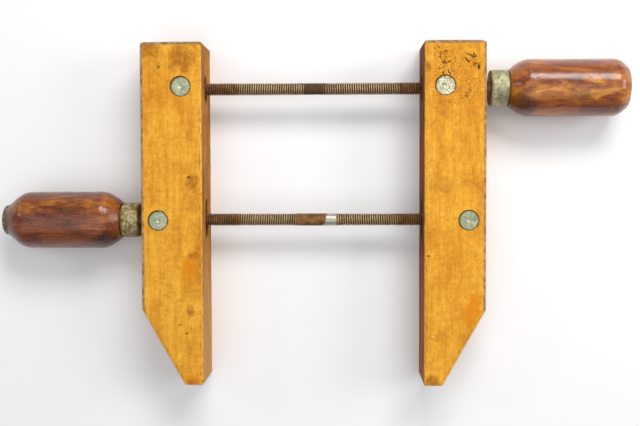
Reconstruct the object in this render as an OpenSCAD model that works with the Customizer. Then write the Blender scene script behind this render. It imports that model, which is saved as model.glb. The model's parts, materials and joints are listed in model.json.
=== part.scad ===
// Wooden hand screw clamp: two bevelled jaws drawn together by two steel spindles.
// Each spindle has a left-hand and a right-hand thread and runs in a swivel nut in each jaw.
// It lies flat: X along the spindles, Y from the jaw tips to their square ends, Z up.

/* [Jaws] */
// Length of each jaw, tip to square end
jaw_len = 254; // [200:1:300]
// Width of each jaw, along the spindles
jaw_w = 45.5; // [42:0.5:52]
// Thickness of each jaw, which is the height of the clamp lying flat
jaw_t = 44.5; // [44:0.5:60]
// Gap between the clamping faces, spindles wound right out
opening = 163.4; // [140:0.1:175]
// Width left at the tip of each jaw by the bevel
tip_w = 13.8; // [8:0.1:20]
// Length of each jaw that the bevel takes up
bevel_len = 56.3; // [40:0.1:70]
// Radius of the outer corner at the square end
corner_r = 3; // [1:0.5:6]
// Chamfer on the jaw edges
edge_c = 0.8; // [0.4:0.1:1.5]

/* [Swivel nuts] */
// Diameter of the nut barrels
nut_d = 14.3; // [13.5:0.1:16]
// Depth of the nut ends below the jaw faces
nut_recess = 0.5; // [0:0.1:1.5]
// Running clearance of a nut in its jaw, on the radius
nut_clear = 0.1; // [0.05:0.01:0.2]
// Running clearance of a spindle in a nut, on the radius
thread_clear = 0.15; // [0.12:0.01:0.3]
// Distance of the end nuts from the square end
end_nut_down = 32.9; // [28:0.1:40]
// Distance of the end nuts from the clamping face
end_nut_in = 15.5; // [14:0.1:20]
// Distance between the end spindle and the middle spindle
spindle_pitch = 98.8; // [90:0.1:110]
// Distance of the middle nuts from the clamping face
middle_nut_in = 32.8; // [28:0.1:33]

/* [Spindle slots] */
// Width of the slots through the jaws
slot_w = 11.5; // [10.5:0.1:13]
// Angle that the slots flare away from the nut, each way
slot_flare = 18; // [8:1:20]

/* [Spindles] */
// Outside diameter of the thread
spindle_d = 9.525; // [8:0.005:10]
// Diameter of the unthreaded middle of each spindle
plain_d = 9.3; // [8:0.05:10]
// Diameter of the tang that carries the handle
tang_d = 8; // [6:0.1:8.5]
// Length of the end spindle beyond its far nut
end_spindle_past = 8; // [6:0.1:15]
// Length of the middle spindle beyond its far nut
middle_spindle_past = 4.5; // [2:0.1:5.5]

/* [Handles] */
// Largest diameter of the handles
handle_d = 43.3; // [38:0.1:43.8]
// Distance from the middle of the clamp to the outer end of each handle's rivet
half_span = 236.5; // [225:0.1:250]
// Length of the flare between ferrule and grip
neck_len = 15; // [10:0.5:20]
// Diameter at the small end of the flare
neck_d = 27.8; // [26:0.1:32]
// Diameter of the flat outer end of the end handle
end_handle_face_d = 33.2; // [28:0.1:36]
// Length of the rounded outer end of the end handle
end_handle_round = 9.5; // [6:0.5:14]
// Diameter of the flat outer end of the middle handle
middle_handle_face_d = 22.8; // [22.6:0.1:30]
// Length of the rounded outer end of the middle handle
middle_handle_round = 16.5; // [10:0.5:20]

/* [Ferrules and washers] */
// Distance between a ferrule and the jaw beside it
ferrule_gap = 5.3; // [5.2:0.1:8]
// Length of the ferrules
ferrule_len = 13.5; // [10:0.1:18]
// Diameter of the end ferrule
end_ferrule_d = 27.2; // [25:0.1:30]
// Diameter of the middle ferrule
middle_ferrule_d = 26.2; // [25:0.1:30]
// Wall of the ferrules
ferrule_wall = 1.8; // [1.2:0.1:2.5]
// Diameter of the washers at the outer ends of the handles
washer_d = 22.4; // [18:0.1:22.4]
// Thickness of those washers
washer_t = 3; // [2:0.1:4]
// Height that the end washer stands out of its recess
washer_proud = 1.2; // [0.4:0.1:2]

/* [Hidden] */
$fn = 64;

maple = [0.87, 0.66, 0.33];
varnished = [0.50, 0.23, 0.12];
zinc = [0.74, 0.77, 0.70];
rusty_steel = [0.45, 0.34, 0.24];
dull_steel = [0.60, 0.60, 0.52];
dark_steel = [0.28, 0.27, 0.25];

overlap = 1;                                // how far a cutter passes a face
mid_z = jaw_t / 2;
face_x = opening / 2;                       // clamping face
back_x = face_x + jaw_w;                    // outer face
end_y = jaw_len / 2 - end_nut_down;
middle_y = end_y - spindle_pitch;
end_nut_x = face_x + end_nut_in;
middle_nut_x = face_x + middle_nut_in;

nut_lead = 0.5;                             // chamfer on the nut ends
dimple_r = 1.4;                             // turning centre in the nut ends
hole_lead = 0.7;                            // chamfer at the mouths of the nut holes

fit_gap = 0.1;                              // between pieces that turn on each other
end_gap = 0.05;                             // between faces stacked on a tang
ferrule_x = back_x + ferrule_gap;
ferrule_end_x = ferrule_x + ferrule_len;
shoulder_x = ferrule_x + 2.5;               // where a spindle steps down to its tang
ferrule_round = 2.2;
neck_gap = 0.3;                             // between a ferrule and the flare of its handle
rivet_r = 5.5;
tang_r = tang_d / 2;
middle_rivet_h = 0.85;
middle_washer_x = half_span - middle_rivet_h - end_gap - washer_t;
end_rivet_h = 1.85;
end_washer_x = half_span - end_rivet_h - end_gap - washer_t;

// Turned work is drawn as [radius, distance] points and laid along +X
module turned(points) {
    rotate([0, 90, 0]) rotate_extrude() polygon(points);
}

// Outline of the right jaw, seen from above
function jaw_outline() = concat(
    [[face_x, -jaw_len / 2], [face_x + tip_w, -jaw_len / 2]],
    [[back_x, bevel_len - jaw_len / 2]],
    [for (a = [0:15:90])
        [back_x - corner_r * (1 - cos(a)), jaw_len / 2 - corner_r * (1 - sin(a))]],
    [[face_x, jaw_len / 2]]
);

// A bar of the given width and the jaw's height, with its four long edges chamfered
module eased_bar(low, high, length) {
    linear_extrude(height = length, center = true)
        polygon([
            [low + edge_c, 0], [high - edge_c, 0], [high, edge_c], [high, jaw_t - edge_c],
            [high - edge_c, jaw_t], [low + edge_c, jaw_t], [low, jaw_t - edge_c], [low, edge_c]
        ]);
}

// Chamfers along the two edges of the bevel
module bevel_chamfers() {
    run = jaw_w - tip_w;
    for (z = [0, jaw_t])
        translate([face_x + tip_w, -jaw_len / 2, z])
            rotate([0, 0, atan2(bevel_len, run)])
                rotate([45, 0, 0])
                    cube([2 * bevel_len, edge_c * sqrt(2), edge_c * sqrt(2)], center = true);
}

// Hole for a nut barrel, chamfered at both faces
module nut_hole() {
    r = nut_d / 2 + nut_clear;
    translate([0, 0, -overlap]) cylinder(r = r, h = jaw_t + 2 * overlap);
    for (m = [0, 1])
        translate([0, 0, m * jaw_t]) mirror([0, 0, m])
            translate([0, 0, -overlap])
                cylinder(r1 = r + hole_lead + overlap, r2 = r, h = hole_lead + overlap);
}

// Slot for a spindle: it flares from the nut to both faces of the jaw
module spindle_slot() {
    reach = jaw_w + 2 * overlap;
    spread = reach * tan(slot_flare);
    translate([0, 0, mid_z]) {
        linear_extrude(height = slot_w - 0.8, center = true)
            for (s = [-1, 1]) polygon([[0, 0], [s * reach, spread], [s * reach, -spread]]);
        for (a = [-slot_flare, 0, slot_flare])
            rotate([0, 90, a]) cylinder(d = slot_w, h = 2 * reach, center = true);
    }
}

module jaw() {
    color(maple) difference() {
        intersection() {
            linear_extrude(height = jaw_t) polygon(jaw_outline());
            rotate([90, 0, 0]) eased_bar(face_x, back_x, jaw_len + 2);
            rotate([90, 0, 90]) translate([0, 0, face_x + jaw_w / 2])
                eased_bar(-jaw_len / 2, jaw_len / 2, jaw_w + 2);
        }
        bevel_chamfers();
        for (p = [[end_nut_x, end_y], [middle_nut_x, middle_y]])
            translate([p[0], p[1], 0]) {
                nut_hole();
                spindle_slot();
            }
    }
}

// Barrel nut with the spindle's hole through it
module nut(x, y) {
    r = nut_d / 2;
    h = jaw_t - 2 * nut_recess;
    color(zinc) translate([x, y, mid_z]) difference() {
        rotate_extrude() polygon([
            [0, -h / 2], [r - nut_lead, -h / 2], [r, nut_lead - h / 2],
            [r, h / 2 - nut_lead], [r - nut_lead, h / 2], [0, h / 2]
        ]);
        rotate([0, 90, 0]) cylinder(r = spindle_d / 2 + thread_clear, h = nut_d + 2, center = true);
        for (m = [0, 1]) mirror([0, 0, m])
            translate([0, 0, h / 2 - dimple_r]) cylinder(r1 = 0, r2 = dimple_r, h = dimple_r);
    }
}

// Spindle along X: free end, plain middle, shoulder, tang and riveted end
module spindle(free_x, plain_from, plain_to, rivet_h) {
    r = spindle_d / 2;
    lead = 1;
    rivet_x = half_span - rivet_h;
    color(rusty_steel) turned(concat(
        [[0, free_x], [r - lead, free_x], [r, free_x + lead]],
        [[r, plain_from], [plain_d / 2, plain_from], [plain_d / 2, plain_to], [r, plain_to]],
        [[r, shoulder_x], [tang_r, shoulder_x], [tang_r, rivet_x]],
        [for (a = [0:15:90]) [rivet_r * cos(a), rivet_x + rivet_h * sin(a)]]
    ));
}

// Cup that binds the neck of a handle, closed towards the jaw
module ferrule(d) {
    r = d / 2;
    inner = r - ferrule_wall;
    hole = spindle_d / 2 + fit_gap;
    lead = 0.6;
    color(dull_steel) turned(concat(
        [[hole, ferrule_x], [r - lead, ferrule_x], [r, ferrule_x + lead]],
        [for (a = [0:15:90])
            [r - ferrule_round * (1 - cos(a)) * 0.7,
             ferrule_end_x - ferrule_round * (1 - sin(a))]],
        [[inner, ferrule_end_x], [inner, shoulder_x], [hole, shoulder_x]]
    ));
}

// Turned handle: spigot in the ferrule, flare, grip and rounded end
module handle(ferrule_d, end_x, face_r, round_len, recess_r, recess) {
    grip_r = handle_d / 2;
    neck_r = neck_d / 2;
    spigot_r = ferrule_d / 2 - ferrule_wall - fit_gap;
    neck_x = ferrule_end_x + neck_gap;
    color(varnished) turned(concat(
        [[tang_r, shoulder_x + fit_gap], [spigot_r, shoulder_x + fit_gap], [spigot_r, neck_x]],
        [for (u = [0:0.125:1])
            [neck_r + (grip_r - neck_r) * sin(90 * u), neck_x + neck_len * u]],
        [for (u = [0:0.125:1])
            [face_r + (grip_r - face_r) * cos(90 * u), end_x - round_len * (1 - u)]],
        [[recess_r, end_x], [recess_r, end_x - recess], [tang_r, end_x - recess]]
    ));
}

module washer(x) {
    r = washer_d / 2;
    lead = 0.8;
    hole = tang_r + fit_gap;
    color(dark_steel) turned([
        [hole, x], [r, x], [r, x + washer_t - lead], [r - lead, x + washer_t], [hole, x + washer_t]
    ]);
}

module left_jaw() mirror([1, 0, 0]) jaw();
module right_jaw() jaw();
module left_end_nut() nut(-end_nut_x, end_y);
module right_end_nut() nut(end_nut_x, end_y);
module left_middle_nut() nut(-middle_nut_x, middle_y);
module right_middle_nut() nut(middle_nut_x, middle_y);

// The end spindle's handle is at the right, the middle spindle's at the left
module on_end_axis() translate([0, end_y, mid_z]) children();
module on_middle_axis() translate([0, middle_y, mid_z]) mirror([1, 0, 0]) children();

module end_spindle() on_end_axis()
    spindle(-end_nut_x - nut_d / 2 - end_spindle_past, -8.8, 9.4, end_rivet_h);
module middle_spindle() on_middle_axis()
    spindle(-middle_nut_x - nut_d / 2 - middle_spindle_past, -18.3, 15.2, middle_rivet_h);
module end_ferrule() on_end_axis() ferrule(end_ferrule_d);
module middle_ferrule() on_middle_axis() ferrule(middle_ferrule_d);
module end_handle() on_end_axis()
    handle(end_ferrule_d, end_washer_x + washer_t - washer_proud, end_handle_face_d / 2,
           end_handle_round, washer_d / 2 + fit_gap, washer_t - washer_proud + end_gap);
module middle_handle() on_middle_axis()
    handle(middle_ferrule_d, middle_washer_x - end_gap, middle_handle_face_d / 2,
           middle_handle_round, tang_r + 1, 0.5);
module end_washer() on_end_axis() washer(end_washer_x);
module middle_washer() on_middle_axis() washer(middle_washer_x);

left_jaw();
right_jaw();
left_end_nut();
right_end_nut();
left_middle_nut();
right_middle_nut();
end_spindle();
middle_spindle();
end_ferrule();
middle_ferrule();
end_handle();
middle_handle();
end_washer();
middle_washer();
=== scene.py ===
import json
import math
import random

import bmesh
import bpy
from mathutils import Matrix, Vector, noise


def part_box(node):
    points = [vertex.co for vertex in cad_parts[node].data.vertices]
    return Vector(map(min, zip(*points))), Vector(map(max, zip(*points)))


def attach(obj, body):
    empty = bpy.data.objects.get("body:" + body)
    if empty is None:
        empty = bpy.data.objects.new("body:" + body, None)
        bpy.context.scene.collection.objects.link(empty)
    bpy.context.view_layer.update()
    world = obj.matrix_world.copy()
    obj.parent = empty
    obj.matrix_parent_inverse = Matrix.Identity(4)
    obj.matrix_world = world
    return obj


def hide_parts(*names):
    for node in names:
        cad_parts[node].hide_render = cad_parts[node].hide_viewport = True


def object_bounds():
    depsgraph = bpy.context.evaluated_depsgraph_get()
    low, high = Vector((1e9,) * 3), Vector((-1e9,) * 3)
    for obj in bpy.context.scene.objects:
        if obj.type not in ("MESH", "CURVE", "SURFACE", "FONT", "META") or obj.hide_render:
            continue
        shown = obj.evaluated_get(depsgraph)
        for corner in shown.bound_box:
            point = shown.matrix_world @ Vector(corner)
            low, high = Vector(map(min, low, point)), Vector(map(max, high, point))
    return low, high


# A wooden hand screw clamp: two maple jaws, two steel spindles with turned handles, and four swivel nuts.
# Every visible piece is modelled here, in metres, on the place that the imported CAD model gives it.

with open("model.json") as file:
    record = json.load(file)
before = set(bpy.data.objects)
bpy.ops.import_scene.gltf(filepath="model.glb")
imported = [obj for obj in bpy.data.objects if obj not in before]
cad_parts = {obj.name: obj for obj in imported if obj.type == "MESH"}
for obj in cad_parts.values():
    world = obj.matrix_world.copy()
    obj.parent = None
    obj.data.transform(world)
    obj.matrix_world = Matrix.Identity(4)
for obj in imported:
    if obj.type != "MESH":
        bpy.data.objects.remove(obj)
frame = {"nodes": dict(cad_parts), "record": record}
cad_box = [list(corner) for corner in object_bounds()]

MM = 0.001

# Jaws
TIP_WIDTH = 13.8 * MM
BEVEL_LENGTH = 56.3 * MM
CORNER_RADIUS = 3.0 * MM
EDGE_RADIUS = 1.3 * MM
JAW_STEP = 1.6 * MM
SLOT_WIDTH = 11.5 * MM
SLOT_FLARE = math.radians(18)
HOLE_CLEARANCE = 0.1 * MM
HOLE_LEAD = 0.7 * MM
RING_SPACING = 4.6 * MM

# Threads, cut left-handed on the left half of each spindle and right-handed on the right half
THREAD_PITCH = 1.72 * MM
THREAD_DEPTH = 0.85 * MM
THREAD_SEGMENTS = 32
PLAIN_RADII = {"end": 4.3 * MM, "middle": 4.62 * MM}
PLAIN_SPANS = {"end": (-6.6 * MM, 6.4 * MM), "middle": (-12.4 * MM, 17.4 * MM)}
THREAD_REACH = 80 * MM
NECK_LENGTH = 16 * MM
TANG_RADIUS = 4.0 * MM
SHANK_IN_FERRULE = 2.5 * MM
RIVET_RADIUS = 5.5 * MM
NUT_BORE_CLEARANCE = 0.15 * MM

# Handles and their fittings
TURNED_SEGMENTS = 96
SPIGOT_WALL = 1.9 * MM
SPIGOT_LENGTH = 8 * MM
FERRULE_WALL = 1.8 * MM
CLOSE_FIT = 0.05 * MM
EASY_FIT = 0.1 * MM

# Camera, found from the jaws' proportions in perspective
CAMERA_PLACE = (0.02171, 0.02516, 0.67993)
CAMERA_TURN = (-0.0379, 0.0259, -0.0015)
CAMERA_LENS = 48.68
CAMERA_SENSOR = 36

# How far the floor lies below the clamp, so that no faces coincide, and how far it reaches
FLOOR_GAP = 0.0002
FLOOR_REACH = 5.0


# ---- meshes

def new_object(name, mesh, place=(0, 0, 0)):
    piece = bpy.data.objects.new(name, mesh)
    piece.location = place
    bpy.context.scene.collection.objects.link(piece)
    return piece


def ring_mesh(name, rings, closed=False):
    """Mesh through rings of equally many points. Its two ends are filled, or joined if closed is set."""
    count = len(rings[0])
    points = [p for ring in rings for p in ring]
    faces = []
    for i in range(len(rings) if closed else len(rings) - 1):
        a, b = i * count, (i + 1) % len(rings) * count
        faces += [(a + j, a + (j + 1) % count, b + (j + 1) % count, b + j) for j in range(count)]
    if not closed:
        faces += [tuple(range(count))[::-1], tuple(range((len(rings) - 1) * count, len(rings) * count))]
    mesh = bpy.data.meshes.new(name)
    mesh.from_pydata(points, [], faces)
    tidy_mesh(mesh)
    return mesh


def tidy_mesh(mesh, sharp_angle=35):
    """Joins points that coincide, turns all faces outward and shades smooth between sharp edges."""
    work = bmesh.new()
    work.from_mesh(mesh)
    bmesh.ops.remove_doubles(work, verts=work.verts, dist=1e-7)
    bmesh.ops.dissolve_degenerate(work, edges=work.edges, dist=1e-7)
    bmesh.ops.recalc_face_normals(work, faces=work.faces)
    work.to_mesh(mesh)
    work.free()
    mesh.polygons.foreach_set("use_smooth", [True] * len(mesh.polygons))
    mesh.set_sharp_from_angle(angle=math.radians(sharp_angle))


def turned_mesh(name, outline, axis="X", segments=TURNED_SEGMENTS, wear=None, closed=False):
    """Turned work: outline is (distance, radius) pairs along the axis. wear gives a depth at a point."""
    rings = []
    for along, radius in outline:
        ring = []
        for i in range(segments):
            angle = math.tau * i / segments
            c, s = math.cos(angle), math.sin(angle)
            outward = Vector((0, c, s)) if axis == "X" else Vector((c, s, 0))
            start = Vector((along, 0, 0)) if axis == "X" else Vector((0, 0, along))
            point = start + outward * radius
            if wear and radius > 0:
                point -= outward * wear(point)
            ring.append(point)
        rings.append(ring)
    return ring_mesh(name, rings, closed)


def cut(piece, cutters):
    """Takes the cutters out of a piece, and removes them."""
    for cutter in cutters:
        step = piece.modifiers.new("cut", "BOOLEAN")
        step.operation, step.object, step.solver = "DIFFERENCE", cutter, "EXACT"
    bpy.context.view_layer.update()
    graph = bpy.context.evaluated_depsgraph_get()
    mesh = bpy.data.meshes.new_from_object(piece.evaluated_get(graph))
    piece.modifiers.clear()
    piece.data = mesh
    for cutter in cutters:
        bpy.data.objects.remove(cutter)
    tidy_mesh(mesh)


def silhouette(node, sign):
    """A turned CAD node's outline: its outer radius at each distance along X from the middle."""
    low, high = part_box(node)
    centre_y, centre_z = (low.y + high.y) / 2, (low.z + high.z) / 2
    mesh = frame["nodes"][node].data
    places = [(round(sign * v.co.x, 5), math.hypot(v.co.y - centre_y, v.co.z - centre_z))
              for v in mesh.vertices]
    spans = {tuple(sorted(places[i] for i in edge.vertices)) for edge in mesh.edges}
    outline = []
    for along in sorted({place[0] for place in places}):
        radii = [ra + (rb - ra) * ((along - a) / (b - a) if b > a else 1)
                 for (a, ra), (b, rb) in spans if a <= along <= b]
        outline.append((along, max(radii)))
    return outline


def softened(outline, step=0.7 * MM, passes=4):
    """The outline in even steps, with its corners softened."""
    points = []
    for (a, ra), (b, rb) in zip(outline, outline[1:]):
        count = max(1, round((b - a) / step))
        points += [(a + (b - a) * i / count, ra + (rb - ra) * i / count) for i in range(count)]
    points.append(outline[-1])
    for _ in range(passes):
        inner = [(b[0], (a[1] + 2 * b[1] + c[1]) / 4) for a, b, c in zip(points, points[1:], points[2:])]
        points = [points[0]] + inner + [points[-1]]
    return points


def scatter(seed, count, low, high, radii, depths):
    """Dents at places drawn between two corners: (place, radius, depth)."""
    draw = random.Random(seed)
    dents = []
    for _ in range(count):
        place = Vector([draw.uniform(a, b) for a, b in zip(low, high)])
        dents.append((place, draw.uniform(*radii), draw.uniform(*depths)))
    return dents


def scatter_round(seed, count, start, end, radius, radii, depths):
    """Dents drawn in the box round a turned piece that lies along X from start to end."""
    reach = Vector((0, radius, radius))
    return scatter(seed, count, Vector((start, 0, 0)) - reach, Vector((end, 0, 0)) + reach, radii, depths)


def dent_depth(point, dents):
    """Depth of all the dents together at a point."""
    total = 0
    for place, radius, depth in dents:
        reach = (point - place).length / radius
        if reach < 2:
            total += depth * math.exp(-2 * reach * reach)
    return total


def ends_of(node):
    """How far the near and the far end of a node are from the middle, along X."""
    low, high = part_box(node)
    return sorted((abs(low.x), abs(high.x)))


def radius_of(node):
    """Largest radius of a node that is turned round an axis along X."""
    low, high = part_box(node)
    return (high.z - low.z) / 2


def on_axis(name, mesh, node):
    """A piece whose X axis is the axis of a turned CAD node."""
    low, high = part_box(node)
    return new_object(name, mesh, (0, (low.y + high.y) / 2, (low.z + high.z) / 2))


def jaw_name(side):
    """side is -1 for the left jaw and 1 for the right one."""
    return "left_jaw" if side < 0 else "right_jaw"


# ---- jaws

def jaw_width(y, low_y, high_y, width):
    """Width of a jaw at y: narrow at the tip, and round at the outer corner of the square end."""
    if y < low_y + BEVEL_LENGTH:
        return TIP_WIDTH + (width - TIP_WIDTH) * max(0, y - low_y) / BEVEL_LENGTH
    into_corner = y - (high_y - CORNER_RADIUS)
    if into_corner > 0:
        return width - CORNER_RADIUS + math.sqrt(max(0, CORNER_RADIUS ** 2 - into_corner ** 2))
    return width


def jaw_stations(low_y, high_y):
    """Places along a jaw, with how far the section draws in there to round off the ends."""
    arc = [math.radians(a) for a in (90, 70, 50, 30, 12)]
    rounding = [(EDGE_RADIUS * (1 - math.sin(a)), EDGE_RADIUS * (1 - math.cos(a))) for a in arc]
    start = [(low_y + along, inset) for along, inset in rounding]
    end = [(high_y - along, inset) for along, inset in reversed(rounding)]
    first, last = low_y + EDGE_RADIUS, high_y - EDGE_RADIUS
    count = round((last - first) / JAW_STEP)
    between = [first + (last - first) * i / count for i in range(count + 1)]
    kink = low_y + BEVEL_LENGTH
    between += [kink - 0.5 * MM, kink, kink + 0.5 * MM]
    between += [high_y - CORNER_RADIUS * (1 - math.sin(math.radians(a))) for a in (0, 10, 20, 30)]
    return start + [(y, 0) for y in sorted(set(between))] + end


def jaw_section(width, height, inset, radii):
    """Rounded rectangle from (0, 0) to (width, height): (across, up, outward across, outward up)."""
    corners = [(0, 0, 180), (width, 0, 270), (width, height, 0), (0, height, 90)]
    side_steps = (26, 24, 26, 24)
    arcs = []
    for (u, z, start), radius in zip(corners, radii):
        radius = max(radius - inset * 0.6, 0.25 * MM)
        u_in = 1 if u == 0 else -1
        z_in = 1 if z == 0 else -1
        centre = (u + u_in * (inset + radius), z + z_in * (inset + radius))
        turns = [math.radians(start + a) for a in (0, 22.5, 45, 67.5, 90)]
        arcs.append([(centre[0] + radius * math.cos(t), centre[1] + radius * math.sin(t),
                      math.cos(t), math.sin(t)) for t in turns])
    section = []
    for i, count in enumerate(side_steps):
        section += arcs[i]
        a, b = arcs[i][-1], arcs[(i + 1) % 4][0]
        for k in range(1, count):
            section.append((a[0] + (b[0] - a[0]) * k / count, a[1] + (b[1] - a[1]) * k / count, a[2], a[3]))
    return section


def edge_wear(y, corner, seed):
    """Radius of a long edge at y: worn unevenly, with a few knocks."""
    roll = noise.noise(Vector((y * 45, corner * 7.3, seed)))
    fine = noise.noise(Vector((y * 330, corner * 3.1, seed + 5)))
    knock = max(0, noise.noise(Vector((y * 120, corner * 11.7, seed + 9))) - 0.32)
    return EDGE_RADIUS * (1 + 0.35 * roll + 0.18 * fine + 2.4 * knock)


def jaw_wood(side, seed, dents):
    """The wood of a jaw, before it is drilled and slotted, with an uneven surface and dents."""
    low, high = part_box(jaw_name(side))
    face_x, width, height = min(abs(low.x), abs(high.x)), high.x - low.x, high.z - low.z
    rings = []
    for y, inset in jaw_stations(low.y, high.y):
        span = jaw_width(y, low.y, high.y, width)
        radii = [edge_wear(y, corner, seed) for corner in range(4)]
        ring = []
        for u, z, out_u, out_z in jaw_section(span, height, inset, radii):
            point = Vector((side * (face_x + u), y, low.z + z))
            roll = noise.noise(point * 28 + Vector((seed, 0, 0))) * 0.5 + 0.5
            grain = noise.noise(Vector((point.x * 420, point.y * 22, point.z * 420 + seed))) * 0.5 + 0.5
            depth = 0.16 * MM * roll + 0.05 * MM * grain + dent_depth(point, dents)
            ring.append(point - Vector((side * out_u, 0, out_z)) * depth)
        rings.append(ring)
    return new_object(jaw_name(side) + "_wood", ring_mesh("jaw", rings))


def hole_cutter(node, height):
    """Drill for the hole of a swivel nut, with the lead at both faces."""
    low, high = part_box(node)
    radius = (high.x - low.x) / 2 + HOLE_CLEARANCE
    past = 1 * MM
    wide = radius + HOLE_LEAD + past
    outline = [(-past, wide), (HOLE_LEAD, radius), (height - HOLE_LEAD, radius), (height + past, wide)]
    mesh = turned_mesh("drill", outline, "Z")
    return new_object("drill", mesh, ((low.x + high.x) / 2, (low.y + high.y) / 2, 0))


def slot_cutter(node, width):
    """Cutter for a spindle slot, which flares from the nut towards both faces of the jaw."""
    low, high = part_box(node)
    reach = width + 2 * MM
    radius = SLOT_WIDTH / 2
    rings = []
    for along in (-reach, -reach / 2, 0, reach / 2, reach):
        spread = abs(along) * math.tan(SLOT_FLARE)
        ring = []
        for degrees in range(0, 360, 12):
            turn = math.radians(degrees)
            shift = spread if degrees < 180 else -spread
            ring.append((along, shift + radius * math.sin(turn), radius * math.cos(turn)))
        rings.append(ring)
    mesh = ring_mesh("slot", rings)
    return new_object("slot", mesh, (low + high) / 2)


def build_jaw(side, seed, dents):
    """A jaw, with a slot and a cross hole at each nut."""
    low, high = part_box(jaw_name(side))
    wood = jaw_wood(side, seed, dents)
    cutters = []
    for place in ("end", "middle"):
        node = jaw_name(side).replace("jaw", place + "_nut")
        cutters += [slot_cutter(node, high.x - low.x), hole_cutter(node, high.z - low.z)]
    cut(wood, cutters)
    return wood


# ---- metal pieces

def build_nut(node, seed):
    """Swivel nut: a turned barrel with faced ends, a centre mark, and the spindle's hole."""
    low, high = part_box(node)
    radius, half = (high.x - low.x) / 2, (high.z - low.z) / 2
    lead, mark = 0.55 * MM, 1.3 * MM
    face = [(half, radius - lead)]
    rings = 26
    for i in range(1, rings):
        r = (radius - lead) * (1 - i / rings)
        swirl = 0.02 * MM * math.sin(i * 2.6 + seed)
        dimple = max(0, mark - r) * 0.75
        dish = 0.05 * MM * (1 - (r / radius) ** 2)
        face.append((half - 0.03 * MM - dish - swirl - dimple, r))
    face.append((half - mark * 0.75, 0))
    side = [(half - lead * 0.35, radius - lead * 0.3), (half - lead, radius)]
    upper = [*reversed(face), *side]
    outline = [(-along, r) for along, r in upper] + [(0, radius)] + list(reversed(upper))
    draw = random.Random(seed)
    dents = [(Vector((radius * math.cos(a), radius * math.sin(a), half)), 0.9 * MM, 0.25 * MM)
             for a in [draw.uniform(0, math.tau) for _ in range(5)]]
    mesh = turned_mesh(node, outline, "Z", wear=lambda p: dent_depth(p, dents))
    nut = new_object(node + "_barrel", mesh)
    bore_radius = spindle_radius() + NUT_BORE_CLEARANCE
    bore = turned_mesh("bore", [(-radius * 2, bore_radius), (radius * 2, bore_radius)], segments=48)
    cut(nut, [new_object("bore", bore)])
    nut.location = (low + high) / 2
    return nut


def spindle_radius():
    """Radius over the thread, the same on both spindles."""
    return max(radius for along, radius in silhouette("end_spindle", 1) if abs(along) < THREAD_REACH)


def thread_surface(start, end, hand, radius, ends):
    """A helical thread between two places along X. It runs out into plain rings of the radii in ends."""
    turns = (end - start) / THREAD_PITCH
    shape = [(0.0, 1.0), (0.16, 0.8), (0.38, 0.06), (0.5, 0.0), (0.62, 0.06), (0.84, 0.8)]
    count = math.ceil((turns + 2) * THREAD_SEGMENTS)
    run_out = 1.6 * THREAD_PITCH
    points, faces = [], []
    for i in range(count + THREAD_SEGMENTS + 1):
        angle = hand * math.tau * i / THREAD_SEGMENTS
        for share, deep in shape:
            along = start + THREAD_PITCH * (i / THREAD_SEGMENTS - 1 + share)
            fade = min(1, max(0, along - start) / run_out, max(0, end - along) / run_out)
            inside = min(max(along, start), end)
            plain = ends[0] if along < (start + end) / 2 else ends[1]
            r = plain + (radius - THREAD_DEPTH * deep - plain) * math.sqrt(fade)
            points.append((inside, r * math.cos(angle), r * math.sin(angle)))
    width = len(shape)
    for i in range(count):
        for k in range(width):
            a, b = i * width + k, (i + 1) * width + k
            if k + 1 < width:
                faces.append((a, b, b + 1, a + 1))
            else:
                c, d = (i + THREAD_SEGMENTS) * width, (i + 1 + THREAD_SEGMENTS) * width
                faces.append((a, b, d, c))
    return points, faces


def plain_surface(outline):
    """Plain turned stretches, in the same segments as the thread."""
    points, faces = [], []
    for along, radius in outline:
        for i in range(THREAD_SEGMENTS):
            angle = math.tau * i / THREAD_SEGMENTS
            points.append((along, radius * math.cos(angle), radius * math.sin(angle)))
    for row in range(len(outline) - 1):
        for i in range(THREAD_SEGMENTS):
            a, b = row * THREAD_SEGMENTS + i, row * THREAD_SEGMENTS + (i + 1) % THREAD_SEGMENTS
            faces.append((a, b, b + THREAD_SEGMENTS, a + THREAD_SEGMENTS))
    return points, faces


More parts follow.
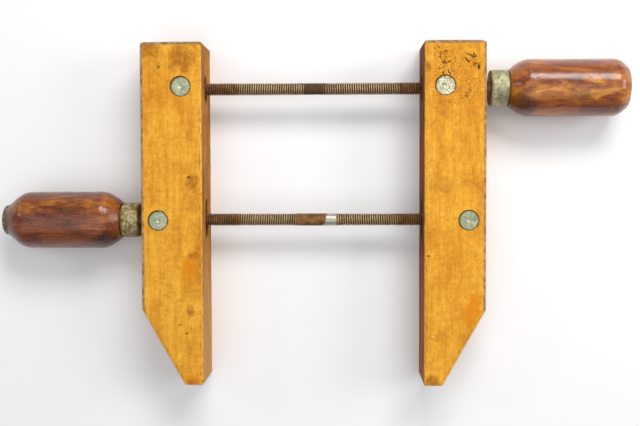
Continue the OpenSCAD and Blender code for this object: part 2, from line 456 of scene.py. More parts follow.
def build_spindle(which, sign):
    """A spindle: two threads, a plain middle, a tang, and the rivet head that holds the handle."""
    node = which + "_spindle"
    low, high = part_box(node)
    radius = spindle_radius()
    worn_radius = radius - 0.05 * MM
    lead_radius = radius - 0.75 * MM
    plain_low, plain_high = PLAIN_SPANS[which]
    plain = PLAIN_RADII[which]
    shoulder = sign * (ends_of(which + "_ferrule")[0] + SHANK_IN_FERRULE)
    free, riveted = (low.x, high.x) if sign > 0 else (high.x, low.x)
    head = abs(riveted) - max(d for d, r in silhouette(node, sign) if abs(r - RIVET_RADIUS) < 0.1 * MM)
    head_start = riveted - sign * head
    thread_end = shoulder - sign * NECK_LENGTH
    free_ring = free + sign * 1.2 * MM

    first, last = sorted([free_ring, thread_end])
    first_radius, last_radius = (lead_radius, worn_radius) if sign > 0 else (worn_radius, lead_radius)
    middle = [(plain_low + (plain_high - plain_low) * i / 12, plain) for i in range(13)]
    dome = [(riveted - sign * head * (1 - math.sin(a)), RIVET_RADIUS * math.cos(a))
            for a in [math.radians(d) for d in range(0, 91, 15)]]
    tail = [(thread_end, worn_radius), (shoulder, worn_radius), (shoulder, TANG_RADIUS),
            (head_start, TANG_RADIUS), *dome]
    parts = [
        plain_surface([(free, 0), (free, lead_radius - 0.7 * MM), (free_ring, lead_radius)]),
        thread_surface(first, plain_low, -1, radius, (first_radius, plain)),
        thread_surface(plain_high, last, 1, radius, (plain, last_radius)),
        plain_surface(middle),
        plain_surface(tail),
    ]
    points, faces = [], []
    for part_points, part_faces in parts:
        shift = len(points)
        points += part_points
        faces += [tuple(i + shift for i in face) for face in part_faces]
    mesh = bpy.data.meshes.new(node)
    mesh.from_pydata(points, [], faces)
    work = bmesh.new()
    work.from_mesh(mesh)
    bmesh.ops.remove_doubles(work, verts=work.verts, dist=2e-6)
    bmesh.ops.dissolve_degenerate(work, edges=work.edges, dist=1e-6)
    work.to_mesh(mesh)
    work.free()
    tidy_mesh(mesh, 50)
    return on_axis(node + "_threaded", mesh, node)


def build_ferrule(which, sign):
    """Ferrule: a cup on the CAD outline, closed round the spindle at the jaw's end, with shallow dents."""
    node = which + "_ferrule"
    outer = softened(silhouette(node, sign), 0.5 * MM, 2)
    start, end = outer[0][0], outer[-1][0]
    radius = radius_of(node)
    bore = spindle_radius() + EASY_FIT
    inner = radius - FERRULE_WALL
    bottom = start + SHANK_IN_FERRULE
    outline = [(start, bore), *outer, (end, inner), (bottom, inner), (bottom, bore)]
    outline = [(sign * along, r) for along, r in outline]
    dents = scatter_round(which, 40, sign * start, sign * end, radius,
                          (1 * MM, 2.6 * MM), (0.03 * MM, 0.1 * MM))
    mesh = turned_mesh(node, outline, wear=lambda p: dent_depth(p, dents), closed=True)
    return on_axis(node + "_cup", mesh, node)


def build_handle(which, sign, seed):
    """Turned handle on the CAD outline, slightly uneven, with knocks from use."""
    node, washer = which + "_handle", which + "_washer"
    ferrule_end = ends_of(which + "_ferrule")[1]
    spigot = radius_of(which + "_ferrule") - SPIGOT_WALL
    shown = softened([(d, r) for d, r in silhouette(node, sign) if d > ferrule_end], passes=5)
    bore = TANG_RADIUS + CLOSE_FIT
    inside = ferrule_end - SPIGOT_LENGTH
    end = shown[-1][0]
    seat = ends_of(washer)[0] - CLOSE_FIT
    seat_radius = radius_of(washer) + EASY_FIT
    recess = [(end, seat_radius), (seat, seat_radius), (seat, bore)] if seat < end else [(end, bore)]
    outline = [(inside, bore), (inside, spigot), (shown[0][0], spigot), *shown, *recess]
    outline = [(sign * along, r) for along, r in outline]
    dents = scatter_round(seed, 90, sign * ferrule_end, sign * end, radius_of(node),
                          (0.9 * MM, 2.8 * MM), (0.1 * MM, 0.45 * MM))

    def wear(point):
        if math.hypot(point.y, point.z) < seat_radius + 1 * MM:
            return 0
        roll = noise.noise(point * 40 + Vector((seed, seed, 0))) * 0.5 + 0.5
        flats = noise.noise(Vector((point.x * 12, point.y * 95, point.z * 95 + seed))) * 0.5 + 0.5
        return 0.22 * MM * roll + 0.12 * MM * flats + dent_depth(point, dents)

    mesh = turned_mesh(node, outline, wear=wear, closed=True)
    return on_axis(node + "_turned", mesh, node)


def build_washer(which, sign):
    """Washer under the rivet head, with an eased edge and a shallow turned groove."""
    node = which + "_washer"
    near, far = ends_of(node)
    radius, bore = radius_of(node), TANG_RADIUS + EASY_FIT
    ease = 0.9 * MM
    bevel = 0.2 * MM
    back = [(near, bore), (near, radius - bevel), (near + bevel, radius)]
    edge = [(far - ease * (1 - math.sin(a)), radius - ease * (1 - math.cos(a)))
            for a in [math.radians(d) for d in range(0, 91, 15)]]
    groove = [(far - 0.12 * MM * (1 - abs(i - 3) / 3), radius - ease - (1 + i * 0.3) * MM)
              for i in range(7)]
    outline = [(sign * along, r) for along, r in [*back, *edge, *groove, (far, bore)]]
    dents = scatter_round(node, 14, sign * far, sign * far, radius,
                          (0.8 * MM, 2 * MM), (0.05 * MM, 0.2 * MM))
    mesh = turned_mesh(node, outline, wear=lambda p: dent_depth(p, dents), closed=True)
    return on_axis(node + "_ring", mesh, node)


# ---- materials

def rgb(red, green, blue):
    """A screen colour, 0 to 255, as linear light."""
    def linear(value):
        value /= 255
        return value / 12.92 if value <= 0.04045 else ((value + 0.055) / 1.055) ** 2.4
    return (linear(red), linear(green), linear(blue), 1)


class Shader:
    """A material being built: each method adds nodes and gives back the socket that holds the result."""

    def __init__(self, name):
        self.material = bpy.data.materials.new(name)
        self.material.use_nodes = True
        self.tree = self.material.node_tree
        self.surface = self.tree.nodes["Principled BSDF"]
        self.place = self.node("ShaderNodeTexCoord").outputs["Object"]

    def node(self, kind, inputs=None, **settings):
        node = self.tree.nodes.new(kind)
        for name, value in settings.items():
            setattr(node, name, value)
        for name, value in (inputs or {}).items():
            self.set(node.inputs[name], value)
        return node

    def set(self, socket, value):
        if isinstance(value, bpy.types.NodeSocket):
            self.tree.links.new(value, socket)
        else:
            socket.default_value = value

    def look(self, **values):
        """Sets the surface's sockets, named with underscores for spaces."""
        for name, value in values.items():
            self.set(self.surface.inputs[name.replace("_", " ")], value)

    def stretched(self, scale, shift=0, place=None):
        """The place, scaled along each axis and moved by a shift that sets one pattern off from another."""
        inputs = {"Vector": place or self.place, "Scale": scale,
                  "Location": (shift, shift * 0.7, shift * 1.3)}
        return self.node("ShaderNodeMapping", inputs).outputs["Vector"]

    def noise(self, scale, detail=4, roughness=0.55, twist=0.0, place=None):
        inputs = {"Vector": place or self.place, "Scale": scale, "Detail": detail, "Roughness": roughness,
                  "Distortion": twist}
        return self.node("ShaderNodeTexNoise", inputs).outputs["Fac"]

    def grained(self, scale, shift, detail, roughness, twist=0.0, place=None):
        """Noise with its own scale along each axis."""
        return self.noise(1.0, detail, roughness, twist, self.stretched(scale, shift, place))

    def cells(self, scale):
        return self.node("ShaderNodeTexVoronoi", {"Vector": self.place, "Scale": scale}).outputs["Distance"]

    def vector(self, operation, a, b=(0, 0, 0), output="Value"):
        return self.node("ShaderNodeVectorMath", {0: a, 1: b}, operation=operation).outputs[output]

    def math(self, operation, a, b=0.0):
        return self.node("ShaderNodeMath", {0: a, 1: b}, operation=operation).outputs[0]

    def plus(self, a, b):
        return self.math("ADD", a, b)

    def minus(self, a, b):
        return self.math("SUBTRACT", a, b)

    def times(self, a, b):
        return self.math("MULTIPLY", a, b)

    def most(self, a, b):
        return self.math("MAXIMUM", a, b)

    def least(self, a, b):
        return self.math("MINIMUM", a, b)

    def away(self, a, b):
        """How far apart two values are."""
        return self.math("ABSOLUTE", self.minus(a, b))

    def step(self, value, low, high):
        """0 below low and 1 above high, smooth between. With low above high it falls."""
        flip = low > high
        inputs = {"Value": value, "From Min": min(low, high), "From Max": max(low, high),
                  "To Min": 1.0 if flip else 0.0, "To Max": 0.0 if flip else 1.0}
        return self.node("ShaderNodeMapRange", inputs, interpolation_type="SMOOTHSTEP").outputs["Result"]

    def ramp(self, value, *stops):
        node = self.node("ShaderNodeValToRGB", {"Fac": value})
        elements = node.color_ramp.elements
        elements.remove(elements[1])
        elements[0].position, elements[0].color = stops[0]
        for position, colour in stops[1:]:
            elements.new(position).color = colour
        return node.outputs["Color"]

    def mix(self, amount, a, b):
        """Colour a where amount is 0, and b where it is 1."""
        node = self.node("ShaderNodeMix", data_type="RGBA", blend_type="MIX")
        self.set(node.inputs["Factor"], amount)
        self.set(next(s for s in node.inputs if s.name == "A" and s.type == "RGBA"), a)
        self.set(next(s for s in node.inputs if s.name == "B" and s.type == "RGBA"), b)
        return next(s for s in node.outputs if s.type == "RGBA")

    def tint(self, colour, towards, where, strength):
        """Takes a colour towards another where the mask is 1, by the given strength."""
        return self.mix(self.times(where, strength), colour, towards)

    def axes(self):
        outputs = self.node("ShaderNodeSeparateXYZ", {"Vector": self.place}).outputs
        return outputs["X"], outputs["Y"], outputs["Z"]

    def far_from(self, centre, stretch):
        """Distance from a place, in metres divided by the stretch along each axis."""
        scale = tuple(1 / s for s in stretch)
        shift = tuple(-c / s for c, s in zip(centre, stretch))
        moved = self.node("ShaderNodeMapping", {"Vector": self.place, "Scale": scale, "Location": shift})
        return self.vector("LENGTH", moved.outputs["Vector"])

    def spot(self, centre, radii, ragged, scale):
        """A ragged mark: 1 inside an ellipsoid of these radii, 0 outside."""
        edge = self.times(self.minus(self.noise(scale, 5, 0.65), 0.5), ragged * 4)
        return self.step(self.plus(self.far_from(centre, radii), edge), 1.25, 0.55)

    def bump(self, height, distance, strength, below=None):
        inputs = {"Height": height, "Distance": distance, "Strength": strength}
        if below is not None:
            inputs["Normal"] = below
        return self.node("ShaderNodeBump", inputs).outputs["Normal"]


def plane_depths(s, side):
    """How far below the nearest outer face of a jaw a point lies, and how far from the nearest edge."""
    low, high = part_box(jaw_name(side))
    inner, outer = (high.x, low.x) if side < 0 else (low.x, high.x)
    x, y, z = s.axes()
    depths = [s.away(value, edge) for value, edge in
              ((x, inner), (x, outer), (y, low.y), (y, high.y), (z, low.z), (z, high.z))]
    run = (high.x - low.x) - TIP_WIDTH
    slope = Vector((side * BEVEL_LENGTH, -run, 0)).normalized()
    tip = Vector((inner + side * TIP_WIDTH, low.y, 0))
    depths.append(s.away(s.vector("DOT_PRODUCT", s.place, slope), slope.dot(tip)))
    nearest, second = depths[0], None
    for depth in depths[1:]:
        larger = s.most(nearest, depth)
        second = larger if second is None else s.least(second, larger)
        nearest = s.least(nearest, depth)
    return nearest, second


def maple(name, side, shift, marks):
    """Old varnished maple, grain along Y. marks are (kind, centre, radii) in the row frame."""
    s = Shader(name)
    low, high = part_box(jaw_name(side))
    x, y, z = s.axes()
    buried, from_edge = plane_depths(s, side)
    sway = s.node("ShaderNodeCombineXYZ", {"X": s.times(s.noise(14, 2), 0.006)}).outputs["Vector"]
    swayed = s.vector("ADD", s.place, sway, "Vector")

    # Body colour, from broad clouds to single fibres, with cross figure
    broad = s.grained((46, 17, 46), shift, 5, 0.6, 0.5, swayed)
    colour = s.ramp(broad, (0.25, rgb(192, 122, 28)), (0.42, rgb(216, 146, 34)), (0.56, rgb(232, 167, 48)),
                    (0.72, rgb(218, 151, 42)))
    blotches = s.grained((120, 70, 120), shift + 2, 6, 0.68, 0.6, swayed)
    colour = s.tint(colour, rgb(178, 108, 22), s.step(blotches, 0.44, 0.72), 0.5)
    colour = s.tint(colour, rgb(246, 188, 72), s.step(blotches, 0.46, 0.3), 0.5)
    streaks = s.grained((430, 20, 430), shift + 3, 6, 0.7, 0.3, swayed)
    colour = s.tint(colour, rgb(176, 106, 26), s.step(streaks, 0.45, 0.75), 0.42)
    fibres = s.grained((1500, 70, 1500), shift + 7, 3, 0.6, 0.0, swayed)
    colour = s.tint(colour, rgb(150, 88, 22), s.step(fibres, 0.52, 0.8), 0.3)
    flecks = s.grained((800, 380, 800), shift + 9, 4, 0.7, 0.3)
    colour = s.tint(colour, rgb(170, 100, 20), s.step(flecks, 0.5, 0.72), 0.35)
    colour = s.tint(colour, rgb(250, 198, 88), s.step(flecks, 0.48, 0.3), 0.3)
    figure = s.grained((70, 210, 70), shift + 11, 4, 0.6, 1.6, swayed)
    colour = s.tint(colour, rgb(246, 192, 84), s.step(figure, 0.45, 0.7), 0.2)
    colour = s.tint(colour, rgb(184, 112, 28), s.step(figure, 0.46, 0.28), 0.28)

    # Growth rings, faint on the faces and plain on the end grain
    ring_centre = (side * 0.16, 0, 0.085)
    rings = s.vector("DISTANCE", s.stretched((1, 0.02, 1)), ring_centre)
    bent = s.plus(rings, s.times(s.noise(18, 3, 0.5), 0.009))
    wave = s.math("SINE", s.times(bent, math.tau / RING_SPACING))
    end_grain = s.step(s.least(s.away(y, low.y), s.away(y, high.y)), 0.0012, 0.0004)
    colour = s.tint(colour, rgb(160, 92, 24), s.step(wave, 0.2, 1.0), 0.1)
    dull = s.mix(s.step(wave, -0.2, 0.9), rgb(164, 112, 56), rgb(112, 72, 34))
    colour = s.tint(colour, dull, end_grain, 0.85)

    # Clouding, grime and pinholes
    cloud = s.grained((60, 44, 60), shift + 17, 5, 0.62, 0.8)
    colour = s.tint(colour, rgb(172, 106, 30), s.step(cloud, 0.54, 0.72), 0.45)
    grime = s.noise(170, 6, 0.75)
    colour = s.tint(colour, rgb(138, 88, 36), s.step(grime, 0.58, 0.72), 0.35)
    pinholes = s.times(s.step(s.cells(430), 0.16, 0.06), s.step(s.noise(60, 2), 0.52, 0.62))
    dents = s.times(pinholes, 0.7)

    # Stains, chips and specks, and a painted highlight, where marks puts them
    mottle = s.plus(0.45, s.times(s.step(s.noise(210, 6, 0.72), 0.36, 0.62), 0.55))
    stain_and_highlight_colours = {
        "brown": (rgb(150, 84, 14), 0.8),
        "orange": (rgb(214, 126, 4), 0.85),
        "dark": (rgb(74, 40, 18), 0.95),
        # pale is a pale fleck; on the left jaw's rounded corner it is a painted highlight
        "pale": (rgb(226, 202, 160), 0.7),
    }
    torn = s.step(s.grained((400, 330, 400), shift + 4, 2, 0.45), 0.555, 0.6)
    chips = s.times(torn, s.step(s.noise(640, 4, 0.7), 0.4, 0.48))
    grains = s.times(s.step(s.cells(820), 0.44, 0.28), s.step(s.noise(190, 4, 0.7), 0.4, 0.54))
    for kind, centre, radii in marks:
        if kind in ("chipped", "speckled"):
            zone = s.step(s.far_from(centre, radii), 1.1, 0.6)
            colour = s.mix(s.times(zone, s.times(grains, 0.8)), colour, rgb(124, 70, 24))
            if kind == "chipped":
                dents = s.most(dents, s.times(zone, chips))
        else:
            mark_colour, strength = stain_and_highlight_colours[kind]
            spread = s.spot(centre, radii, 0.9 if kind == "orange" else 0.5, 150)
            amount = s.times(spread, strength)
            if kind != "dark":
                amount = s.times(amount, mottle)
            colour = s.mix(amount, colour, mark_colour)
    colour = s.tint(colour, rgb(78, 40, 16), dents, 0.9)

    # Worn edges: grey where they are exposed, and pale elsewhere. The grey is wear and a painted reflection
    # of the surroundings; the pale line on the inner edges is wear and a painted highlight.
    inner_x, outer_x = (high.x, low.x) if side < 0 else (low.x, high.x)
    outside = s.step(s.away(x, outer_x), 0.003, 0.002)
    exposed = s.most(outside, s.step(y, high.y - 0.003, high.y - 0.002))
    worn_depth = s.plus(from_edge, s.times(s.noise(120, 6, 0.7), -0.0016))
    worn_depth = s.minus(worn_depth, s.times(exposed, 0.0013))
    worn = s.step(worn_depth, 0.0006, -0.0004)
    patchy = s.step(s.noise(200, 4, 0.6), 0.4, 0.62)
    pale_edge_wear_and_highlight = s.mix(patchy, rgb(232, 182, 98), rgb(196, 138, 62))
    grey_edge_wear_and_reflection = s.mix(patchy, rgb(176, 152, 122), rgb(106, 84, 58))
    colour = s.tint(colour, s.mix(exposed, pale_edge_wear_and_highlight, grey_edge_wear_and_reflection), worn, 0.75)
    # A grey-brown band at the square end: wear, and partly a painted reflection
    square_end = s.step(y, high.y - 0.0036, high.y - 0.0008)
    square_end = s.times(square_end, s.step(s.noise(260, 5, 0.7), 0.4, 0.62))
    colour = s.tint(colour, rgb(122, 98, 66), square_end, 0.7)
    dirty_rim = s.step(s.away(from_edge, 0.0019), 0.001, 0.0)
    dirty_rim = s.times(dirty_rim, s.step(s.noise(170, 5, 0.7), 0.42, 0.66))
    colour = s.tint(colour, rgb(116, 70, 30), dirty_rim, 0.5)

    # Side faces darker than the top, most of all the inner ones: handling dirt and painted shade. The right
    # jaw's darker, redder side colours are painted shade with a painted red reflection.
    sides = s.step(s.least(z, s.minus(high.z, z)), 0.0006, 0.0016)
    inner = s.step(s.away(x, inner_x), 0.0014, 0.0006)
    if side < 0:
        clean, dirt_and_shade_tone, rubbed = rgb(184, 124, 54), rgb(134, 82, 34), rgb(206, 158, 106)
    else:
        # Painted shade and a painted red reflection on the right jaw's sides
        clean, dirt_and_shade_tone, rubbed = rgb(126, 54, 26), rgb(80, 30, 14), rgb(176, 104, 62)
    dirt = s.step(s.grained((90, 45, 90), shift, 6, 0.7, 0.4), 0.36, 0.66)
    side_dirt_and_shade = s.tint(s.mix(dirt, clean, dirt_and_shade_tone), rubbed, s.step(y, -0.01, -0.09), 0.5)
    colour = s.mix(s.times(sides, s.plus(0.42, s.times(inner, 0.48))), colour, side_dirt_and_shade)

    # Painted shadow in a ring round each nut, offset to one side, and painted shade on the wood inside the
    # slots and holes
    recess_shadow_ring = None
    for place in ("end", "middle"):
        nut_low, nut_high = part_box(jaw_name(side).replace("jaw", place + "_nut"))
        radius = (nut_high.x - nut_low.x) / 2
        centre = (nut_low + nut_high) / 2 + Vector((-0.3 * MM, 0.35 * MM, 0))
        near = s.step(s.far_from(centre, (radius, radius, 1)), 1.1, 1.03)
        recess_shadow_ring = near if recess_shadow_ring is None else s.most(recess_shadow_ring, near)
    shaded_recess = s.step(buried, 0.0004, 0.0016)
    colour = s.tint(colour, rgb(54, 34, 18), recess_shadow_ring, 0.8)
    # Painted shade: dark wood on every face inside the slots and holes
    colour = s.mix(shaded_recess, colour, rgb(46, 27, 14))

    rough = s.plus(0.44, s.times(s.noise(90, 5), 0.18))
    rough = s.plus(rough, s.times(s.most(worn, s.most(shaded_recess, sides)), 0.25))
    normal = s.bump(streaks, 0.00012, 0.5)
    normal = s.bump(fibres, 0.00006, 0.45, normal)
    normal = s.bump(dents, -0.0003, 0.8, normal)
    normal = s.bump(s.noise(260, 4), 0.0001, 0.35, normal)
    s.look(Base_Color=colour, Roughness=rough, Normal=normal, Specular_IOR_Level=0.13)
    return s.material


def varnish(name, shift, tones, gold, gold_share, gold_strength, gloss):
    """Worn reddish varnish, grain along X. gold is the middle of the patch that is rubbed through; where it
    lies on the upper side of a handle it is also a painted highlight.
    """
    s = Shader(name)
    broad = s.grained((30, 110, 110), shift, 6, 0.64, 0.9)
    colour = s.ramp(broad, (0.29, tones[0]), (0.42, tones[1]), (0.54, tones[2]), (0.7, tones[3]))
    streaks = s.grained((26, 520, 520), shift + 5, 6, 0.72, 0.4)
    colour = s.tint(colour, tones[0], s.step(streaks, 0.44, 0.7), 0.6)
    # Golden patch: rubbed-through varnish, and on the middle handle's upper side also a painted highlight
    rubbed = s.spot(gold, gold_share, 0.6, 60)
    gold_wear_and_highlight = s.ramp(s.grained((70, 200, 200), shift + 9, 6, 0.7, 0.4), (0.38, tones[1]),
                   (0.5, rgb(176, 102, 20)), (0.64, rgb(226, 156, 50)))
    colour = s.tint(colour, gold_wear_and_highlight, rubbed, gold_strength)
    chipped = s.times(s.step(s.noise(330, 6, 0.75), 0.59, 0.65), s.step(s.noise(70, 3), 0.47, 0.57))
    colour = s.tint(colour, rgb(206, 144, 66), chipped, 0.7)
    pits = s.times(s.step(s.cells(330), 0.2, 0.08), s.step(s.noise(55, 2), 0.48, 0.58))
    colour = s.tint(colour, rgb(30, 12, 6), pits, 0.85)
    grime = s.step(s.noise(42, 5, 0.65), 0.5, 0.7)
    # Painted shade on the lower side of the neck, mixed with the grime
    neck_grime_and_shade = s.spot((math.copysign(0.156, gold[0]), -0.0135, 0.006), (0.010, 0.0085, 0.02), 0.5, 90)
    grime = s.most(s.times(grime, 0.45), s.times(neck_grime_and_shade, 0.65))
    colour = s.mix(grime, colour, rgb(50, 26, 16))
    rough = s.plus(0.3, s.times(s.noise(130, 5, 0.7), 0.25))
    rough = s.plus(rough, s.times(s.most(chipped, pits), 0.3))
    normal = s.bump(streaks, 0.00015, 0.5)
    normal = s.bump(s.noise(150, 4), 0.00035, 0.5, normal)
    normal = s.bump(s.most(pits, chipped), -0.0002, 0.8, normal)
    s.look(Base_Color=colour, Roughness=rough, Normal=normal, Coat_Normal=normal, Coat_Weight=gloss,
           Coat_Roughness=0.15, Specular_IOR_Level=0.25)
    return s.material


def ferrule_metal(name, shift, tarnish, bright, pitting):
    """Old plated steel: satin, with tarnish and black pits. pitting is 0 for few pits and 0.1 for many."""
    s = Shader(name)
    broad = s.grained((190, 170, 170), shift, 6, 0.68 + pitting, 0.25)
    colour = s.ramp(broad, (0.34, tarnish), (0.5, bright), (0.64, rgb(206, 202, 172)))
    pits = s.times(s.step(s.noise(420, 6, 0.8), 0.62 - pitting, 0.68 - pitting),
                  s.step(s.noise(130, 3), 0.5 - pitting, 0.6 - pitting))
    colour = s.tint(colour, rgb(52, 44, 22), pits, 0.8)
    lines = s.grained((2600, 30, 30), shift, 2, 0.5)
    rough = s.plus(0.44 + pitting, s.times(s.noise(160, 5, 0.7), 0.2))
    rough = s.plus(rough, s.times(pits, 0.2))
    metal = s.minus(0.75 - pitting, s.times(s.most(pits, s.step(broad, 0.5, 0.25)), 0.5))
    normal = s.bump(lines, 0.00003, 0.35)
    normal = s.bump(s.noise(260, 5, 0.7), 0.00012, 0.4, normal)
    normal = s.bump(pits, -0.0002, 0.9, normal)
    s.look(Base_Color=colour, Metallic=metal, Roughness=rough, Normal=normal)
    return s.material


def washer_metal(name):
    """Dark oxidised steel, mottled where it has been handled."""
    s = Shader(name)
    colour = s.ramp(s.noise(190, 7, 0.7, 0.6), (0.34, rgb(84, 76, 56)), (0.52, rgb(136, 124, 98)),
                    (0.7, rgb(176, 166, 130)))
    rust = s.step(s.noise(110, 5, 0.7), 0.56, 0.68)
    colour = s.tint(colour, rgb(110, 72, 42), rust, 0.6)
    rough = s.plus(0.34, s.times(s.noise(240, 5), 0.26))
    metal = s.minus(0.75, s.times(rust, 0.5))
    normal = s.bump(s.noise(520, 6, 0.75), 0.0002, 0.6)
    s.look(Base_Color=colour, Metallic=metal, Roughness=rough, Normal=normal)
    return s.material


def zinc(name, shift, tones, specks, smudge):
    """Faced zinc-plated end of a nut: turning marks round its axis, with specks and a smudge."""
    s = Shader(name)
    x, y, z = s.axes()
    from_axis = s.math("SQRT", s.plus(s.times(x, x), s.times(y, y)))
    wobble = s.plus(from_axis, s.times(s.noise(190, 3), 0.0012))
    swirl = s.math("SINE", s.times(wobble, math.tau / 0.0011))
    colour = s.ramp(s.grained((210, 210, 210), shift, 6, 0.68, 0.9), (0.34, tones[0]),
                    (0.5, tones[1]), (0.64, tones[2]))
    shaded = s.step(s.minus(x, s.times(y, 0.3)), 0.002, -0.007)
    colour = s.tint(colour, tones[0], shaded, 0.35)
    colour = s.tint(colour, tones[0], s.step(swirl, 0.1, 1.0), 0.35)
    stained = s.spot(smudge, (0.0022, 0.0017, 0.004), 0.6, 700)
    colour = s.tint(colour, rgb(116, 122, 84), stained, 0.5)
    middle = s.step(from_axis, 0.0015, 0.0009)
    colour = s.tint(colour, rgb(240, 238, 214), middle, 0.5)
    dark = s.step(s.noise(1050, 5, 0.75, 0.3, s.stretched((1, 1, 1), shift)), 0.65 - specks, 0.69 - specks)
    colour = s.tint(colour, rgb(74, 72, 52), dark, 0.8)
    # A darker ring round the edge of the face: painted shade where the nut sits below the jaw's face
    rim = s.step(from_axis, 0.0060, 0.0070)
    colour = s.tint(colour, rgb(84, 82, 62), rim, 0.55)
    barrel = s.step(s.math("ABSOLUTE", z), 0.0212, 0.0205)
    colour = s.mix(barrel, colour, rgb(60, 50, 38))
    rough = s.plus(0.34, s.times(s.noise(300, 5, 0.7), 0.28))
    metal = s.minus(0.5, s.times(s.most(dark, stained), 0.3))
    normal = s.bump(swirl, 0.00004, 0.6)
    normal = s.bump(s.noise(900, 4, 0.7), 0.00008, 0.45, normal)
    normal = s.bump(dark, -0.0001, 0.7, normal)
    s.look(Base_Color=colour, Metallic=metal, Roughness=rough, Normal=normal)
    return s.material


def spindle_steel(name, shift, polished, clean):
    """Rusty steel. polished are the stretches along X with bright crests, and clean is a bare stretch."""
    s = Shader(name)
    x, y, z = s.axes()
    radius = s.math("SQRT", s.plus(s.times(y, y), s.times(z, z)))
    crest = s.step(radius, 0.0042, 0.0047)
    rust = s.ramp(s.grained((150, 190, 190), shift, 7, 0.7, 0.6), (0.3, rgb(76, 48, 22)),
                  (0.48, rgb(120, 82, 42)), (0.6, rgb(156, 108, 58)), (0.74, rgb(140, 118, 76)))
    dull = s.tint(rust, rgb(52, 38, 22), s.minus(1.0, crest), 0.85)
    bright = s.mix(s.noise(420, 4), rgb(150, 122, 84), rgb(222, 200, 160))
    uneven = s.times(s.minus(s.noise(85, 4), 0.5), 0.02)
    along = s.plus(x, uneven)
    shine = None
    for low, high in polished:
        rise = s.step(along, low, low + 0.006)
        fall = s.step(along, high, high - 0.006)
        span = s.times(rise, fall)
        shine = span if shine is None else s.most(shine, span)
    patchy = s.step(s.noise(150, 5, 0.7), 0.66, 0.46)
    shine = s.times(s.times(shine, crest), s.plus(0.4, s.times(patchy, 0.6)))
    if clean:
        rise = s.step(along, clean[0], clean[0] + 0.002)
        fall = s.step(x, clean[1], clean[1] - 0.0006)
        bare = s.times(rise, fall)
        shine = s.most(shine, bare)
        bright = s.mix(bare, bright, s.mix(s.noise(300, 4), rgb(150, 146, 132), rgb(200, 194, 178)))
    colour = s.mix(shine, dull, bright)
    rough = s.minus(0.6, s.times(shine, 0.3))
    rough = s.plus(rough, s.times(s.noise(260, 4), 0.12))
    metal = s.plus(0.1, s.times(shine, 0.5))
    normal = s.bump(s.noise(700, 6, 0.75), 0.00012, 0.5)
    s.look(Base_Color=colour, Metallic=metal, Roughness=rough, Normal=normal, Specular_IOR_Level=0.3)
    return s.material


def floor_paper():
    s = Shader("floor_paper")
    colour = s.mix(s.noise(3, 3), rgb(242, 242, 243), rgb(238, 238, 239))
    s.look(Base_Color=colour, Roughness=0.7, Normal=s.bump(s.noise(900, 3), 0.00005, 0.2))
    return s.material


# ---- the object

def dress(piece, material, body, node):
    """Finishes a piece: its material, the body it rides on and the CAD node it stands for."""
    piece.data.materials.clear()
    piece.data.materials.append(material)
    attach(piece, body)
    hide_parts(node)


def add_jaws():
    """Both jaws. A mark on the face that shows is its kind, its place and its radii, in millimetres."""
    left_marks = [
        ("brown", (-95.2, 114.7), (11.5, 9.5, 20)),
        ("brown", (-119.4, 120.3), (7.5, 5.5, 20)),
        ("dark", (-113.1, 108.6), (1.1, 1, 6)),
        # A painted highlight: a bright line on the rounded outer corner
        ("pale", (-126.8, 122.2), (1.1, 5, 6)),
        ("dark", (-91.5, 27.5), (1.7, 1.3, 6)),
        ("brown", (-89.5, 23), (5, 7, 10)),
        ("orange", (-90.8, -38.3), (5, 11, 12)),
        ("brown", (-89.4, -30.4), (4.8, 2.4, 10)),
        ("orange", (-123, 30), (2.2, 3, 6)),
        ("brown", (-98.7, -81.9), (1.8, 1.2, 6)),
        ("dark", (-93.9, -88.5), (1.1, 0.6, 6)),
        ("brown", (-91.2, -71.6), (2.8, 4.8, 8)),
        ("orange", (-89, -123), (5.8, 4.2, 10)),
        ("brown", (-88, -125), (6, 3, 10)),
        ("dark", (-82.5, -124), (1, 1.8, 6)),
    ]
    right_marks = [
        ("chipped", (98.2, 106.6), (6.5, 7.5, 10)),
        ("chipped", (93.5, 118), (6.5, 5.5, 10)),
        ("chipped", (116, 113), (8, 6.5, 10)),
        ("chipped", (112.6, 88.6), (4.5, 3.5, 10)),
        ("speckled", (105, 99), (24, 26, 20)),
        ("brown", (84.3, 107.4), (2.4, 4, 6)),
        ("dark", (121.1, 107.4), (1, 2.4, 6)),
        ("orange", (119.6, -63.5), (4.6, 8.5, 12)),
        ("orange", (117.4, -70), (5.2, 7.5, 12)),
        ("orange", (114.8, -75.2), (5, 6.5, 12)),
        ("dark", (84.9, -30.6), (1.4, 0.8, 6)),
        ("pale", (88.5, -90.2), (1, 0.6, 6)),
        ("orange", (90.5, -92.5), (2.8, 1.2, 8)),
        ("brown", (87.2, -122.7), (6, 4.5, 10)),
    ]
    for name, side, seed, rows in (("left", -1, 3.0, left_marks), ("right", 1, 41.0, right_marks)):
        node = jaw_name(side)
        low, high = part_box(node)
        marks = [(kind, (x * MM, y * MM, cad_box[1][2]), [r * MM for r in radii])
                 for kind, (x, y), radii in rows]
        dents = scatter(name, 70, low, high, (1.0 * MM, 2.6 * MM), (0.1 * MM, 0.4 * MM))
        dents += [(Vector(centre), max(1.5 * MM, radii[0] * 0.8), 0.45 * MM)
                  for kind, centre, radii in marks if kind == "dark"]
        wood = build_jaw(side, seed, dents)
        dress(wood, maple(name + "_maple", side, seed, marks), node, node)


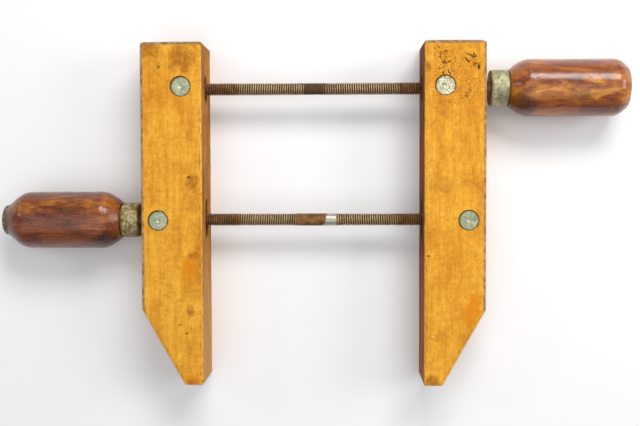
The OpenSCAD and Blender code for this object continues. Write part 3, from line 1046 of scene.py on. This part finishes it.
def add_nuts():
    grey = (rgb(132, 138, 108), rgb(170, 174, 142), rgb(206, 206, 176))
    clean = (rgb(178, 172, 128), rgb(232, 226, 188), rgb(253, 250, 234))
    looks = {
        "left_end_nut": (2.0, grey, 0.0, (0.002, -0.001, 0.022)),
        "right_end_nut": (9.0, clean, 0.13, (-0.001, 0.001, 0.022)),
        "left_middle_nut": (15.0, grey, 0.02, (-0.002, 0.0005, 0.022)),
        "right_middle_nut": (23.0, grey, 0.04, (0.0035, 0.0005, 0.022)),
    }
    for node, (seed, tones, specks, smudge) in looks.items():
        nut = build_nut(node, seed)
        dress(nut, zinc(node + "_zinc", seed, tones, specks, smudge), node, node)


def add_spindle(which, sign, seed, bodies, steel, wood, metal):
    """Everything on one spindle: the spindle itself, its ferrule, handle and washer."""
    makers = {
        "spindle": (build_spindle(which, sign), steel, "rusty_steel"),
        "ferrule": (build_ferrule(which, sign), metal, "ferrule_steel"),
        "handle": (build_handle(which, sign, seed), wood, "varnished_wood"),
        "washer": (build_washer(which, sign), washer_metal(which + "_washer_steel"), "dark_steel"),
    }
    for part, (piece, material, slot) in makers.items():
        node = f"{which}_{part}"
        dress(piece, material, bodies[node], node)


def add_floor():
    mesh = bpy.data.meshes.new("floor")
    reach, z = FLOOR_REACH, cad_box[0][2] - FLOOR_GAP
    corners = [(-reach, -reach, z), (reach, -reach, z), (reach, reach, z), (-reach, reach, z)]
    mesh.from_pydata(corners, [], [(0, 1, 2, 3)])
    floor = new_object("floor", mesh)
    floor.data.materials.append(floor_paper())


def add_light(name, place, aim, width, height, power, colour):
    light = bpy.data.lights.new(name, "AREA")
    light.shape, light.size, light.size_y = "RECTANGLE", width, height
    light.energy, light.color = power, colour
    lamp = bpy.data.objects.new(name, light)
    lamp.location = place
    lamp.rotation_euler = (Vector(aim) - Vector(place)).to_track_quat("-Z", "Y").to_euler()
    bpy.context.scene.collection.objects.link(lamp)


def add_lights():
    add_light("window", (0.30, 0.85, 0.85), (0.02, 0, 0), 0.8, 0.42, 10.6, (1.0, 0.99, 0.97))
    add_light("side_window", (1.3, 0.25, 0.75), (0, 0, 0), 0.6, 0.6, 6.5, (1.0, 0.98, 0.95))
    add_light("overhead", (-0.2, -0.5, 2.5), (0, 0, 0), 3.0, 3.0, 31, (0.97, 0.98, 1.0))
    add_light("far_window", (-1.2, 0.5, 0.9), (-0.1, 0, 0), 0.25, 0.25, 1.4, (1.0, 1.0, 1.0))
    world = bpy.data.worlds.new("studio")
    world.use_nodes = True
    background = world.node_tree.nodes["Background"]
    background.inputs["Color"].default_value = (0.94, 0.96, 1.0, 1)
    background.inputs["Strength"].default_value = 0.25
    bpy.context.scene.world = world


def add_camera():
    data = bpy.data.cameras.new("camera")
    data.lens, data.sensor_width = CAMERA_LENS, CAMERA_SENSOR
    data.clip_start, data.clip_end = 0.02, 20
    camera = bpy.data.objects.new("camera", data)
    turn = Matrix.Identity(3)
    for angle, axis in zip(CAMERA_TURN, "XYZ"):
        turn = turn @ Matrix.Rotation(angle, 3, axis)
    camera.matrix_world = Matrix.Translation(CAMERA_PLACE) @ turn.to_4x4()
    bpy.context.scene.collection.objects.link(camera)
    bpy.context.scene.camera = camera


bpy.context.scene.view_settings.view_transform = "Standard"
add_camera()
add_lights()
add_floor()

node_bodies = {}
for body, nodes in frame["record"]["behaviour"]["bodies"].items():
    node_bodies.update({node: body for node in nodes})
add_jaws()
add_nuts()
add_spindle("end", 1, 12, node_bodies,
            spindle_steel("end_spindle_steel", 4.0, [(-0.060, -0.0066), (0.0064, 0.066)], None),
            varnish("end_handle_varnish", 6.0,
                    (rgb(74, 26, 10), rgb(122, 54, 16), rgb(158, 84, 24), rgb(190, 118, 40)),
                    (0.198, -0.004, 0.012), (0.055, 0.009, 0.02), 0.75, 0.85),
            ferrule_metal("end_ferrule_metal", 8.0, rgb(122, 116, 84), rgb(166, 162, 128), 0.0))
add_spindle("middle", -1, 29, node_bodies,
            spindle_steel("middle_spindle_steel", 14.0, [(-0.058, -0.0124), (0.0174, 0.064)],
                          (0.0078, 0.0174)),
            # Its golden band along the upper side is partly a painted highlight
            varnish("middle_handle_varnish", 19.0,
                    (rgb(62, 22, 12), rgb(104, 46, 22), rgb(136, 70, 32), rgb(164, 98, 48)),
                    (-0.180, 0.011, 0.012), (0.06, 0.006, 0.012), 0.5, 0.6),
            ferrule_metal("middle_ferrule_metal", 21.0, rgb(88, 70, 26), rgb(156, 134, 76), 0.08))
